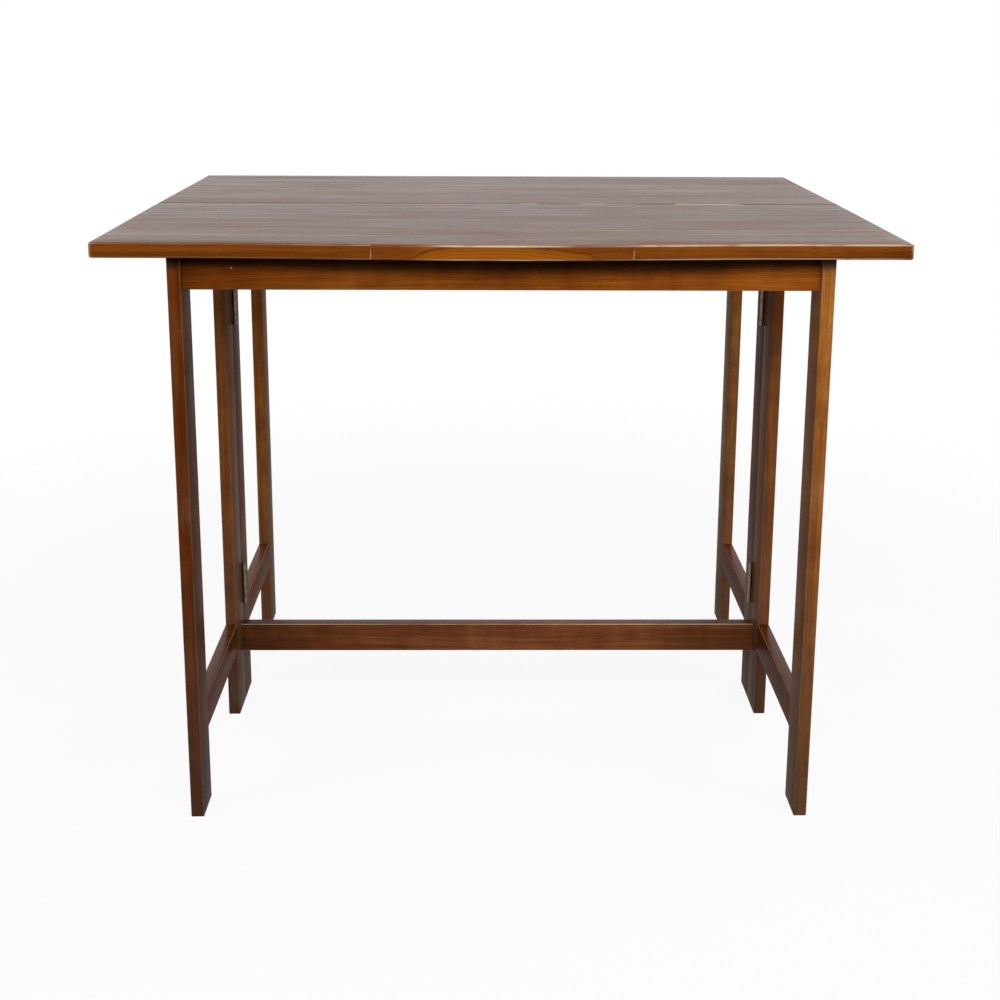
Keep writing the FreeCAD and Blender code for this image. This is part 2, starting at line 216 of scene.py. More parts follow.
# Figure of the wood: shares of its layers, stops of its stain, and what the pores and patches take
LEAF_SHARES = (0.46, 0.48, 0.34, 0.14, 0.26)
STICK_SHARES = (0.22, 0.32, 0.30, 0.22, 0.34)
FIGURE_STOPS = (0.30, 0.50, 0.72)
SWAY_WIDTH = 16 * MM
PORE_RANGE = (0.62, 0.72)
PORE_SHARE = 0.5
PORE_DEPTH = -0.8
PATCH_RANGE = (0.30, 0.52, 0.35, 1.0)
WOOD_BUMP = {"Strength": 0.2, "Distance": 0.2 * MM}

# Leaves are glued up from boards: their width, how the figure and the tone change, and the joints
LEAF_BOARD = 64 * MM
BOARD_SHIFT = (9, 2, 2)
BOARD_SHARE = 0.16
JOINT_SHARE = -0.25
JOINT_WIDTH = 0.5 * MM

# Lacquer: roughness, specular level, and the shares of the layers in its roughness
LACQUER = 0.44
BLOCK_LACQUER = 0.6
STICK_GLOSS = 0.006
LEAF_GLOSS = 0.03
SHEEN_SHARES = (0.12, 0.33, 0.20, 0.18, 0.06)

# Upper faces are polished by use: darker wood, a smoother lacquer and more of a sheen
UPPER_TONE = 0.56
UPPER_LACQUER = 0.34
UPPER_GLOSS = 0.15

# Painted shade: faces that look towards the middle of the table are darkened, as if the light
# missed them
INWARD_SHADE = 0.55

# Darker towards the floor, partly dust on the feet and partly painted shade of the light falling
# off: height where it starts to thin and where it ends, and its shares there
DUST_AND_SHADE_RANGE = (0.05, 0.60, 0.70, 0.0)
DUST_RAGGED = 0.2

# Painted shadow under the overhang, on the apron and the front legs: how far below the leaf it
# starts and is full, and how far it wanders
SHADED_UNDER_OVERHANG = ("front_apron", "front_leg_left", "front_leg_right")
OVERHANG_SHADE = [(-390, 0.1), (-330, 0.3), (-130, 1.0), (220, 1.0), (330, 0.4), (390, 0.2)]
SHADE_START = 17 * MM
SHADE_FULL = 3 * MM
SHADE_SHARE = 0.95
SHADE_RAGGED = 6 * MM
SHADE_DIP = 8 * MM

# Pale heartwood figure on the front strip: its top, as distance from the middle in mm and share
# of the height, then its rings, its dark rim and the glue lines at the strip's ends
STRIP_FIGURE = [
    (-158, 0.0), (-113, 0.02), (-104, 0.30), (-88, 0.66), (-59, 0.92), (0, 0.97), (30, 0.90),
    (68, 0.70), (106, 0.42), (107, 0.0), (158, 0.0),
]
FIGURE_RAGGED = 0.5
FIGURE_DROP = 2 * MM
FIGURE_EDGE = (0.0, 0.16)
HEART_RANGE = (0.0, 0.7, 0.35, 0.95)
RING_RAGGED = 9.0
RING_COUNT = 30.0
RING_RANGE = (0.1, 1.0, 0.0, 0.45)
RIM_RANGE = (0.01, 0.08)
RIM_SHARE = 0.55
GLUE_LINE = (1.1 * MM, 0.7 * MM)
GLUE_RANGE = (0.50, 0.75, 0.65, 0.05)
GLUE_SHARE = 0.8

# Metal: roughness where it is bright, and what the patina changes
BRASS_POLISH = 0.32
STEEL_POLISH = 0.38
PATINA_RANGE = (0.35, 0.70)
PATINA_TONE = 0.45
PATINA_ROUGHNESS = 0.25
METAL_BUMP = {"Strength": 0.15, "Distance": 0.1 * MM}

# Stage: light boxes with their place, target, size and power, then the floor and the air
LIGHTS = {
    "front_box": ((0.15, -1.75, 1.70), (0.0, -0.3, 0.8), (1.9, 1.0), 25.0),
    "left_box": ((-2.4, -1.3, 1.5), (0.0, 0.0, 0.6), (2.0, 1.6), 22.0),
    "right_box": ((2.4, -1.3, 1.5), (0.0, 0.0, 0.6), (2.0, 1.6), 28.0),
    "left_rear_box": ((-2.2, 1.9, 1.6), (0.0, 0.0, 0.5), (1.6, 1.6), 18.0),
    "right_rear_box": ((2.2, 1.9, 1.6), (0.0, 0.0, 0.5), (1.6, 1.6), 18.0),
}
FLOOR_SIZE = 40.0
FLOOR_GLOW = (0.8, 2.0, 0.91, 1.0)
BOUNCE = 0.22
AMBIENT = 0.08
WHITE = (1, 1, 1, 1)

# Camera
CAMERA_PLACE = Vector((-0.0226, -2.0584, 1.0218))
CAMERA_YAW = math.radians(-0.686)
CAMERA_PITCH = math.radians(12.371)
CAMERA_ROLL = math.radians(0.267)
CAMERA_LENS = 51.31
CAMERA_SENSOR = 36.0
CAMERA_SHIFT = -0.165


class TableSizes(bpy.types.PropertyGroup):
    """Sizes of the softened edges and of the settled top."""

    leaf_corner: bpy.props.FloatProperty(
        name="Leaf corner", description="Rounding of a leaf's outer corners, seen from above",
        default=4.0 * MM, unit="LENGTH")
    leaf_arris: bpy.props.FloatProperty(
        name="Leaf arris", description="Rounding of a leaf's outer edges",
        default=2.6 * MM, unit="LENGTH")
    hinge_arris: bpy.props.FloatProperty(
        name="Hinge arris", description="Rounding of a leaf's edges beside its hinges",
        default=1.2 * MM, unit="LENGTH")
    seam_arris: bpy.props.FloatProperty(
        name="Seam arris", description="Rounding of a leaf's upper edge at the seam",
        default=3.0 * MM, unit="LENGTH")
    seam_foot: bpy.props.FloatProperty(
        name="Seam foot", description="Rounding of a leaf's lower edge at the seam",
        default=1.6 * MM, unit="LENGTH")
    post_arris: bpy.props.FloatProperty(
        name="Post arris", description="Rounding of the uprights' edges",
        default=1.3 * MM, unit="LENGTH")
    rail_arris: bpy.props.FloatProperty(
        name="Rail arris", description="Rounding of the rails' long edges",
        default=1.1 * MM, unit="LENGTH")
    hand_work: bpy.props.FloatProperty(
        name="Hand work", description="How far sanding by hand has moved the points of an arris",
        default=0.12 * MM, unit="LENGTH")
    link_room: bpy.props.FloatProperty(
        name="Link room", description="Clearance of the hinge links in their pockets",
        default=0.5 * MM, unit="LENGTH")
    front_sag: bpy.props.FloatProperty(
        name="Front sag", description="How far the middle of the front edge has settled",
        default=2.6 * MM, unit="LENGTH")


class TableFinish(bpy.types.PropertyGroup):
    """Colours of the finishes."""

    stain_dark: bpy.props.FloatVectorProperty(
        name="Dark stain", description="Stain in the dense late wood",
        default=(0.075, 0.0155, 0.0025), size=3, min=0, max=1, subtype="COLOR")
    stain_middle: bpy.props.FloatVectorProperty(
        name="Stain", description="Stain over most of the wood",
        default=(0.170, 0.0420, 0.0045), size=3, min=0, max=1, subtype="COLOR")
    stain_light: bpy.props.FloatVectorProperty(
        name="Light stain", description="Stain in the open early wood",
        default=(0.300, 0.0920, 0.0100), size=3, min=0, max=1, subtype="COLOR")
    # Also the colour of the painted highlights and glints on the arrises
    worn_wood_and_highlight: bpy.props.FloatVectorProperty(
        name="Worn wood", description="Wood where the stain has rubbed off",
        default=(0.680, 0.500, 0.340), size=3, min=0, max=1, subtype="COLOR")
    # Also stands for painted shade: the legs darken towards the floor as the light falls off
    foot_dust_and_shade: bpy.props.FloatVectorProperty(
        name="Foot dust", description="Dust that years near the floor have left on the feet",
        default=(0.085, 0.048, 0.037), size=3, min=0, max=1, subtype="COLOR")
    # Painted shadow: the tone that darkens the stain under the overhang
    painted_shade: bpy.props.FloatVectorProperty(
        name="Painted shade", description="Tone that grime gives the stain under the overhang",
        default=(0.160, 0.230, 0.640), size=3, min=0, max=1, subtype="COLOR")
    heartwood: bpy.props.FloatVectorProperty(
        name="Heartwood", description="Pale heartwood figure in the front strip",
        default=(0.400, 0.1150, 0.0050), size=3, min=0, max=1, subtype="COLOR")
    brass: bpy.props.FloatVectorProperty(
        name="Brass", description="Aged brass of the hinges",
        default=(0.190, 0.155, 0.100), size=3, min=0, max=1, subtype="COLOR")
    steel: bpy.props.FloatVectorProperty(
        name="Screw steel", description="Dull plated steel of the screws",
        default=(0.400, 0.370, 0.320), size=3, min=0, max=1, subtype="COLOR")
    floor: bpy.props.FloatVectorProperty(
        name="Floor", description="Pale studio floor",
        default=(0.900, 0.900, 0.900), size=3, min=0, max=1, subtype="COLOR")


# Selecting and shaping
def deselect():
    if bpy.context.mode != "OBJECT":
        bpy.ops.object.mode_set(mode="OBJECT")
    bpy.ops.object.select_all(action="DESELECT")


def select_only(piece):
    deselect()
    bpy.context.view_layer.objects.active = piece
    piece.select_set(True)


def cube(name, low, high):
    """A block between two corners, with its place in its mesh."""
    deselect()
    bpy.ops.mesh.primitive_cube_add(size=1, location=(low + high) / 2, scale=high - low)
    piece = bpy.context.active_object
    piece.name = name
    piece.data.name = name
    bpy.ops.object.transform_apply(location=True, rotation=True, scale=True)
    return piece


def open_shape(piece, kind):
    """Opens a piece in edit mode, with none of its points or edges selected."""
    select_only(piece)
    bpy.ops.object.mode_set(mode="EDIT")
    bpy.ops.mesh.select_mode(type=kind)
    bpy.ops.mesh.select_all(action="DESELECT")
    return bmesh.from_edit_mesh(piece.data)


def select_edges(piece, wanted):
    """Selects, in edit mode, the edges whose middle, direction and face angle pass the test."""
    for edge in open_shape(piece, "EDGE").edges:
        start, end = (vert.co for vert in edge.verts)
        middle = (start + end) / 2
        if wanted(middle, (end - start).normalized(), edge.calc_face_angle(0.0)):
            edge.select_set(True)
    bmesh.update_edit_mesh(piece.data)


def divide(piece, axis, cuts):
    """Cuts the block into equal lengths along an axis."""
    select_edges(piece, lambda middle, along, angle: abs(along[AXES[axis]]) > ALONG)
    bpy.ops.mesh.subdivide(number_cuts=cuts)
    bpy.ops.object.mode_set(mode="OBJECT")


def soften(piece, radius, steps, wanted):
    """Rounds the sharp edges that pass the test."""
    select_edges(piece, lambda middle, along, angle: angle > SHARP and wanted(middle, along))
    bpy.ops.mesh.bevel(offset=radius, segments=steps, profile=0.5, affect="EDGES")
    bpy.ops.object.mode_set(mode="OBJECT")


def main_part(direction):
    """The part of a direction along its nearest axis, from one for the axis itself."""
    return max(abs(part) for part in direction)


def rub(piece, amount, seed):
    """Moves the points of the rounded arrises a little, as sanding by hand does."""
    for vert in open_shape(piece, "VERT").verts:
        if main_part(vert.normal) < RUBBED:
            vert.select_set(True)
    bmesh.update_edit_mesh(piece.data)
    bpy.ops.transform.vertex_random(offset=amount, uniform=0.0, normal=0.0, seed=seed)
    bpy.ops.object.mode_set(mode="OBJECT")


def combine(piece, other, operation):
    """Cuts another shape out of a piece, or adds it, and clears the other shape away."""
    select_only(piece)
    change = piece.modifiers.new("change", "BOOLEAN")
    change.operation = operation
    change.solver = "EXACT"
    change.object = other
    bpy.ops.object.modifier_apply(modifier=change.name)
    bpy.data.objects.remove(other)


def shift(piece, axis, amounts):
    """Moves the points along an axis, each one by its own amount."""
    for sign in (-1, 1):
        most = max(sign * amount for amount in amounts)
        if most > 0:
            weights = piece.vertex_groups.new(name="shifted")
            for index, amount in enumerate(amounts):
                weights.add([index], max(0.0, sign * amount / most), "REPLACE")
            select_only(piece)
            move = piece.modifiers.new("shift", "DISPLACE")
            move.direction = axis
            move.mid_level = 0.0
            move.strength = sign * most
            move.vertex_group = weights.name
            bpy.ops.object.modifier_apply(modifier=move.name)
            piece.vertex_groups.clear()


def mark_faces(piece):
    """Writes how far each point lies on an arris and which faces look towards the middle, for the
    painted shade on them.
    """
    mesh = piece.data
    turned = [Vector() for vert in mesh.vertices]
    for face in mesh.polygons:
        if main_part(face.normal) < FLAT:
            for index in face.vertices:
                turned[index] += face.normal
    arris = []
    for normal in turned:
        turn = 1.0 - main_part(normal.normalized()) if normal.length else 0.0
        arris.append(min(1.0, max(0.0, (turn - ARRIS_START) / ARRIS_RISE)))
    shaded_inward = []
    for face in mesh.polygons:
        x = face.center.x
        shaded_inward.append(1.0 if face.normal.x * x < -INWARD_SLOPE * abs(x) else 0.0)
    mesh.attributes.new("arris", "FLOAT", "POINT").data.foreach_set("value", arris)
    mesh.attributes.new("shaded_inward", "FLOAT", "FACE").data.foreach_set("value", shaded_inward)


def finish_piece(piece, node, name, finish, polished=True):
    """Smooths a piece, gives it its wood, polished above, and puts it in its node's place."""
    select_only(piece)
    bpy.ops.object.mode_set(mode="EDIT")
    bpy.ops.mesh.select_all(action="SELECT")
    bpy.ops.mesh.remove_doubles(threshold=MERGE)
    bpy.ops.object.mode_set(mode="OBJECT")
    bpy.ops.object.shade_smooth_by_angle(angle=SMOOTH)
    mark_faces(piece)
    piece.data.materials.clear()
    piece.data.materials.append(stained_wood(name + "_wood", **finish))
    if polished:
        piece.data.materials.append(polished_wood(name + "_top", **finish))
        for face in piece.data.polygons:
            face.material_index = 1 if face.normal.z > UPPER_SLOPE else 0
    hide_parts(node)
    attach(piece, frame["nodes"][node]["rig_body"])


# Node trees
def clear_nodes(owner, output):
    """Empties the node tree of a material or world and gives it an output."""
    owner.use_nodes = True
    tree = owner.node_tree
    tree.nodes.clear()
    return tree, tree.nodes.new(output)


def add_node(tree, kind, inputs=None, **settings):
    made = tree.nodes.new(kind)
    for name, value in settings.items():
        setattr(made, name, value)
    for key, value in (inputs or {}).items():
        if isinstance(value, bpy.types.NodeSocket):
            tree.links.new(value, made.inputs[key])
        else:
            made.inputs[key].default_value = value
    return made


def calc(tree, operation, first, second=0.0, third=0.0):
    inputs = {0: first, 1: second, 2: third}
    return add_node(tree, "ShaderNodeMath", inputs, operation=operation).outputs[0]


def vector_calc(tree, operation, first, second=(0, 0, 0), output="Vector"):
    inputs = {0: first, 1: second}
    return add_node(tree, "ShaderNodeVectorMath", inputs, operation=operation).outputs[output]


def part_of(tree, place, axis):
    return add_node(tree, "ShaderNodeSeparateXYZ", {0: place}).outputs[axis]


def blend_colour(tree, factor, first, second, mode="MIX"):
    inputs = {0: factor, 6: first, 7: second}
    return add_node(tree, "ShaderNodeMix", inputs, data_type="RGBA", blend_type=mode).outputs[2]


def spread(tree, value, low, high, to_low=0.0, to_high=1.0):
    """Maps a range to another with a smooth step."""
    inputs = {0: value, 1: low, 2: high, 3: to_low, 4: to_high}
    return add_node(tree, "ShaderNodeMapRange", inputs, interpolation_type="SMOOTHSTEP").outputs[0]


def ramp(tree, factor, stops):
    made = add_node(tree, "ShaderNodeValToRGB", {0: factor})
    elements = made.color_ramp.elements
    while len(elements) < len(stops):
        elements.new(1.0)
    for element, (place, colour) in zip(elements, stops):
        element.position = place
        element.color = rgba(colour)
    return made.outputs[0]


def noise(tree, vector, layer):
    stretch, detail, roughness = layer
    scaled = vector_calc(tree, "MULTIPLY", vector, stretch)
    inputs = {"Vector": scaled, "Scale": 1.0, "Detail": detail, "Roughness": roughness}
    return add_node(tree, "ShaderNodeTexNoise", inputs).outputs[0]


def weigh(tree, start, parts):
    """Adds greys to a starting value, each one by its weight about its middle."""
    total = start
    for grey, weight in parts:
        total = calc(tree, "MULTIPLY_ADD", calc(tree, "SUBTRACT", grey, 0.5), weight, total)
    return total


def over_length(tree, place, marks):
    """A grey that follows marks, of a distance and a value, along the table's length."""
    length = calc(tree, "ADD", part_of(tree, place, "X"), 0.5)
    return ramp(tree, length, [(0.5 + x * MM, (value, value, value)) for x, value in marks])


def attribute(tree, name):
    return add_node(tree, "ShaderNodeAttribute", attribute_name=name).outputs["Fac"]


def rgba(colour):
    return (*colour, 1.0)


def new_material(name):
    material = bpy.data.materials.new(name)
    tree, output = clear_nodes(material, "ShaderNodeOutputMaterial")
    shader = tree.nodes.new("ShaderNodeBsdfPrincipled")
    tree.links.new(shader.outputs[0], output.inputs[0])
    return material, tree, shader


# Finishes
def boarded(tree, place, turned, width):
    """Shifts figure and tone from board to board across a glued-up leaf, and marks the joints."""
    count = calc(tree, "DIVIDE", part_of(tree, place, "Y"), width)
    board = calc(tree, "FLOOR", count)
    chance = add_node(tree, "ShaderNodeTexWhiteNoise", {"W": board}, noise_dimensions="1D")
    moved = vector_calc(tree, "MULTIPLY", chance.outputs["Color"], BOARD_SHIFT)
    shifted = vector_calc(tree, "ADD", turned, moved)
    edge = calc(tree, "ABSOLUTE", calc(tree, "SUBTRACT", calc(tree, "FRACT", count), 0.5))
    joint = spread(tree, edge, 0.5 - JOINT_WIDTH / width, 0.5)
    return shifted, chance.outputs["Value"], joint


def stained_wood(name, grain, offset, tint, gloss, lacquer=LACQUER, tone=1.0, wear_and_highlight=None,
                 detail=None, board=0, overhang_shade_below=None, length_tone_and_light=None):
    """Brown stain under a satin lacquer, rubbed lighter along the arrises, partly as painted
    highlights, with painted shade on inward faces and, on some pieces, painted shade and light
    along their height and length.
    """
    colours = bpy.context.scene.table_finish
    material, tree, shader = new_material(name)
    place = add_node(tree, "ShaderNodeTexCoord").outputs["Object"]
    mapping = {0: place, 1: offset, 2: GRAIN_TURN[grain]}
    turned = add_node(tree, "ShaderNodeMapping", mapping).outputs[0]
    greys = []
    if board:
        turned, chance, joint = boarded(tree, place, turned, board)
        greys = [(chance, BOARD_SHARE), (joint, JOINT_SHARE)]
    sway = calc(tree, "MULTIPLY_ADD", noise(tree, turned, SWAY), SWAY_WIDTH, -SWAY_WIDTH / 2)
    sway = add_node(tree, "ShaderNodeCombineXYZ", {"Y": sway, "Z": sway}).outputs[0]
    grained = vector_calc(tree, "ADD", turned, sway)
    broad = noise(tree, grained, BROAD)
    streaks = noise(tree, grained, STREAKS)
    fibres = noise(tree, grained, FIBRES)
    mottle = noise(tree, turned, MOTTLE)
    cloud = noise(tree, turned, CLOUD)
    pores = spread(tree, noise(tree, grained, PORES), *PORE_RANGE)
    shares = LEAF_SHARES if board else STICK_SHARES
    layers = list(zip((broad, streaks, fibres, mottle, cloud), shares))
    figure = weigh(tree, 0.5, layers + greys)
    stains = (colours.stain_dark, colours.stain_middle, colours.stain_light)
    toned = [Vector(stain) * Vector(tint) * tone for stain in stains]
    colour = ramp(tree, figure, list(zip(FIGURE_STOPS, toned)))
    dark = rgba(Vector(colours.stain_dark) * tone)
    colour = blend_colour(tree, calc(tree, "MULTIPLY", pores, PORE_SHARE), colour, dark)
    # Painted shade on the faces that look towards the middle of the table
    inward_shade_colour = rgba([INWARD_SHADE] * 3)
    colour = blend_colour(tree, attribute(tree, "shaded_inward"), colour, inward_shade_colour, "MULTIPLY")
    # Darker towards the floor: dust on the feet and painted shade of the light's falloff
    if grain == "Z":
        height = part_of(tree, place, "Z")
        ragged = calc(tree, "MULTIPLY_ADD", broad, DUST_RAGGED, height)
        dust_and_shade = spread(tree, ragged, *DUST_AND_SHADE_RANGE)
        colour = blend_colour(tree, dust_and_shade, colour, rgba(colours.foot_dust_and_shade))
    # Tone along the length; on the apron it is painted light, lighter towards the right end
    if length_tone_and_light:
        colour = blend_colour(tree, 1.0, colour, over_length(tree, place, length_tone_and_light), "MULTIPLY")
    # Painted shadow under the overhang, deeper towards the middle of the apron
    if overhang_shade_below:
        height = part_of(tree, place, "Z")
        dip = over_length(tree, place, OVERHANG_SHADE)
        ragged = calc(tree, "MULTIPLY_ADD", streaks, SHADE_RAGGED, height)
        ragged = calc(tree, "MULTIPLY_ADD", dip, SHADE_DIP, ragged)
        painted_shade = spread(tree, ragged, overhang_shade_below - SHADE_START, overhang_shade_below - SHADE_FULL, 0.0, SHADE_SHARE)
        colour = blend_colour(tree, painted_shade, colour, rgba(colours.painted_shade), "MULTIPLY")
    if detail:
        colour = detail(tree, place, colour, figure)
    arris = attribute(tree, "arris")
    # Pale rubbed wood on the arrises; on the leaves, the strip and the stretcher partly a painted
    # highlight
    rubbed_and_lit = wear_and_highlight(tree, place, arris) if wear_and_highlight else calc(tree, "MULTIPLY", arris, STICK_WEAR)
    patches = spread(tree, noise(tree, turned, PATCHES), *PATCH_RANGE)
    rubbed_and_lit = calc(tree, "MULTIPLY", rubbed_and_lit, patches)
    colour = blend_colour(tree, rubbed_and_lit, colour, rgba(colours.worn_wood_and_highlight))
    tree.links.new(colour, shader.inputs["Base Color"])
    sheen = zip((fibres, streaks, broad, cloud, pores), SHEEN_SHARES)
    tree.links.new(weigh(tree, lacquer, sheen), shader.inputs["Roughness"])
    shader.inputs["Specular IOR Level"].default_value = gloss
    relief = calc(tree, "MULTIPLY_ADD", pores, PORE_DEPTH, fibres)
    bump = add_node(tree, "ShaderNodeBump", {**WOOD_BUMP, "Height": relief})
    tree.links.new(bump.outputs[0], shader.inputs["Normal"])
    return material


def polished_wood(name, **finish):
    """The same wood where use has polished it."""
    finish.update(gloss=UPPER_GLOSS, lacquer=UPPER_LACQUER, tone=UPPER_TONE)
    return stained_wood(name, **finish)


def length_wear_and_highlight(marks):
    """Pale marks on the arrises that change along the length of the table: wear, and on the strip
    and the stretcher also painted highlights.
    """
    def wear_and_highlight(tree, place, arris):
        return calc(tree, "MULTIPLY", arris, over_length(tree, place, marks))
    return wear_and_highlight


def leaf_wear_and_glint(front):
    """Pale marks on a leaf's outer arris, and in dashes on and beside its arris at the seam:
    partly wear, partly painted highlights and glints.
    """
    def wear_and_highlight(tree, place, arris):
        across = calc(tree, "ABSOLUTE", part_of(tree, place, "Y"))
        beside = calc(tree, "MAXIMUM", arris, spread(tree, across, *SEAM_BAND))
        inner = calc(tree, "MULTIPLY", beside, over_length(tree, place, SEAM_WEAR_AND_GLINT))
        outer = calc(tree, "MULTIPLY", arris, over_length(tree, place, front))
        away = calc(tree, "GREATER_THAN", across, SEAM_REACH)
        near = calc(tree, "SUBTRACT", 1.0, away)
        outer = calc(tree, "MULTIPLY", outer, away)
        return calc(tree, "ADD", outer, calc(tree, "MULTIPLY", inner, near))
    return wear_and_highlight


def strip_figure(low, high):
    """The pale, lens-shaped heartwood figure of the front strip, and the glue at its ends."""
    def figure(tree, place, colour, grain):
        colours = bpy.context.scene.table_finish
        ragged = calc(tree, "MULTIPLY_ADD", grain, FIGURE_RAGGED, -FIGURE_RAGGED / 2)
        above = calc(tree, "SUBTRACT", part_of(tree, place, "Z"), low.z - FIGURE_DROP)
        up = calc(tree, "ADD", calc(tree, "DIVIDE", above, high.z - low.z), ragged)
        inside = calc(tree, "SUBTRACT", over_length(tree, place, STRIP_FIGURE), up)
        heart = spread(tree, inside, *HEART_RANGE)
        pale = blend_colour(tree, heart, colour, rgba(colours.heartwood))
        depth = calc(tree, "MULTIPLY", inside, RING_COUNT)
        lines = calc(tree, "SINE", calc(tree, "MULTIPLY_ADD", grain, RING_RAGGED, depth))
        rings = spread(tree, lines, *RING_RANGE)
        pale = blend_colour(tree, rings, pale, rgba(colours.stain_middle))
        colour = blend_colour(tree, spread(tree, inside, *FIGURE_EDGE), colour, pale)
        apart = spread(tree, calc(tree, "ABSOLUTE", inside), *RIM_RANGE)
        rim = calc(tree, "MULTIPLY", calc(tree, "SUBTRACT", 1.0, apart), RIM_SHARE)
        colour = blend_colour(tree, rim, colour, rgba(colours.stain_dark))
        outward = calc(tree, "ABSOLUTE", part_of(tree, place, "X"))
        line = spread(tree, outward, *(high.x - inset for inset in GLUE_LINE))
        squeezed = calc(tree, "MULTIPLY", spread(tree, up, *GLUE_RANGE), GLUE_SHARE)
        glue = calc(tree, "MULTIPLY", line, squeezed)
        return blend_colour(tree, glue, colour, rgba(colours.worn_wood_and_highlight))
    return figure


def nicked(nicks, face):
    """Small light nicks on a front face."""
    def spots(tree, place, colour, grain):
        rubbed_and_lit = rgba(bpy.context.scene.table_finish.worn_wood_and_highlight)
        for x, z, radius in nicks:
            centre = (x * MM, face, z * MM)
            away = vector_calc(tree, "DISTANCE", place, centre, "Value")
            ragged = calc(tree, "MULTIPLY_ADD", grain, NICK_RAGGED, away)
            inner, outer = ((radius + more) * MM for more in NICK_EDGE)
            spot = spread(tree, ragged, inner, outer, NICK_SHARE, 0.0)
            colour = blend_colour(tree, spot, colour, rubbed_and_lit)
        return colour
    return spots


def stick_wood(node, grain, offset):
    """How the wood of a post or rail is finished, with its own stain and nicks, and the painted
    light and shade that some pieces carry.
    """
    return {
        "grain": grain,
        "offset": offset,
        "tint": TINTS_AND_LIGHT.get(node, PLAIN),
        "gloss": STICK_GLOSS,
        "wear_and_highlight": length_wear_and_highlight(STRETCHER_WEAR_AND_HIGHLIGHT) if node == "long_stretcher" else None,
        "detail": nicked(NICKS[node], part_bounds(node)[0].y) if node in NICKS else None,
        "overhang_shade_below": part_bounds("front_leaf")[0].z if node in SHADED_UNDER_OVERHANG else None,
        "length_tone_and_light": TONES_AND_LIGHT.get(node),
    }


def aged_metal(name, colour, roughness):
    """Plated or bare metal with a dull, uneven patina and fine rubbing marks."""
    material, tree, shader = new_material(name)
    place = add_node(tree, "ShaderNodeTexCoord").outputs["Object"]
    patina = spread(tree, noise(tree, place, PATINA), *PATINA_RANGE)
    dull = tuple(part * PATINA_TONE for part in colour)
    aged = blend_colour(tree, patina, rgba(colour), rgba(dull))
    tree.links.new(aged, shader.inputs["Base Color"])
    shader.inputs["Metallic"].default_value = 1.0
    rough = calc(tree, "MULTIPLY_ADD", patina, PATINA_ROUGHNESS, roughness)
    tree.links.new(rough, shader.inputs["Roughness"])
    bump = add_node(tree, "ShaderNodeBump", {**METAL_BUMP, "Height": noise(tree, place, RUBBING)})
    tree.links.new(bump.outputs[0], shader.inputs["Normal"])
    return material


# Shapes
def part_box(node, wanted):
    """The corners of the part of a CAD node whose points pass the test."""
    points = [vert.co for vert in frame["nodes"][node].data.vertices if wanted(vert.co)]
    low = Vector([min(point[axis] for point in points) for axis in range(3)])
    high = Vector([max(point[axis] for point in points) for axis in range(3)])
    return low, high


def settle(piece, only_above=None):
    """Lowers the front of the top towards the middle between the legs, and not at the seam."""
    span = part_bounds("front_leg_right")[0].x
    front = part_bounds("front_leaf")[0].y
    drops = []
    for vert in piece.data.vertices:
        across = max(0.0, 1.0 - abs(vert.co.x) / span)
        swell = math.sin(across * math.pi / 2) ** 2
        depth = max(0.0, vert.co.y / front) ** 2
        share = 1.0 if only_above is None or vert.co.z > only_above else 0.0
        drops.append(-bpy.context.scene.table_sizes.front_sag * swell * depth * share)
    shift(piece, "Z", drops)


def round_over(piece, low, high, y_seam):
    """Widens the rounding of a leaf's outer arris, less and less towards the hinges."""
    sizes = bpy.context.scene.table_sizes
    corner = sizes.leaf_corner
    widening = sizes.leaf_arris / sizes.hinge_arris - 1.0
    depth = high.y - low.y
    outward = 1 if y_seam == low.y else -1
    moves = []
    for x, y, z in (vert.co for vert in piece.data.vertices):
        away = (y - y_seam) * outward
        past = Vector((abs(x) - high.x + corner, away - depth + corner))
        if min(past) > 0:
            facing = past.normalized()
        else:
            facing = Vector((1, 0)) if past.x > past.y else Vector((0, 1))
        inset = corner - past.dot(facing)
        height = min(z - low.z, high.z - z)
        share = 0.0
        if max(inset, height) < sizes.hinge_arris + NEAR:
            share = widening * min(1.0, max(0.0, 2.0 * away / depth - 0.5))
        inwards = -share * inset * facing
        up = share * height * (1 if z - low.z < high.z - z else -1)
        moves.append((math.copysign(1, x) * inwards.x, outward * inwards.y, up))
    for axis, amounts in zip("XYZ", zip(*moves)):
        shift(piece, axis, amounts)


def hinge_recess(node, plates, side):
    """One block that clears a leaf's end for its plate and for the link between the leaves."""
    room = bpy.context.scene.table_sizes.link_room
    leaf_low, leaf_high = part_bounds(node)
    low, high = part_box(plates, lambda point: point.x * side > 0)
    link_low, link_high = part_box("leaf_hinge_links", lambda point: point.x * side > 0)
    outer = max(abs(low.x), abs(high.x)) + CUT_ROOM
    inner = min(abs(low.x), abs(high.x))
    link_inner = min(abs(link_low.x), abs(link_high.x)) - room
    front = leaf_high.y < 0
    seam = leaf_high.y + CUT_ROOM if front else leaf_low.y - CUT_ROOM
    far = low.y if front else high.y
    eye = 2 * (high.z - LEAF_PIVOT.z)
    riser = high.y - eye if front else low.y + eye
    bar_top = leaf_low.z + leaf_high.z - low.z
    top = leaf_high.z + CUT_ROOM
    spans = [
        (inner, outer, far, seam, low.z, bar_top),
        (inner, outer, riser, seam, low.z, top),
        (link_inner, (inner + outer) / 2, link_low.y - room, link_high.y + room,
         link_low.z - room, top),
    ]
    blocks = []
    for x0, x1, y0, y1, z0, z1 in spans:
        corners = [sorted(pair) for pair in ((side * x0, side * x1), (y0, y1), (z0, z1))]
        blocks.append(cube("cutter", *(Vector(corner) for corner in zip(*corners))))
    for block in blocks[1:]:
        combine(blocks[0], block, "UNION")
    return blocks[0]


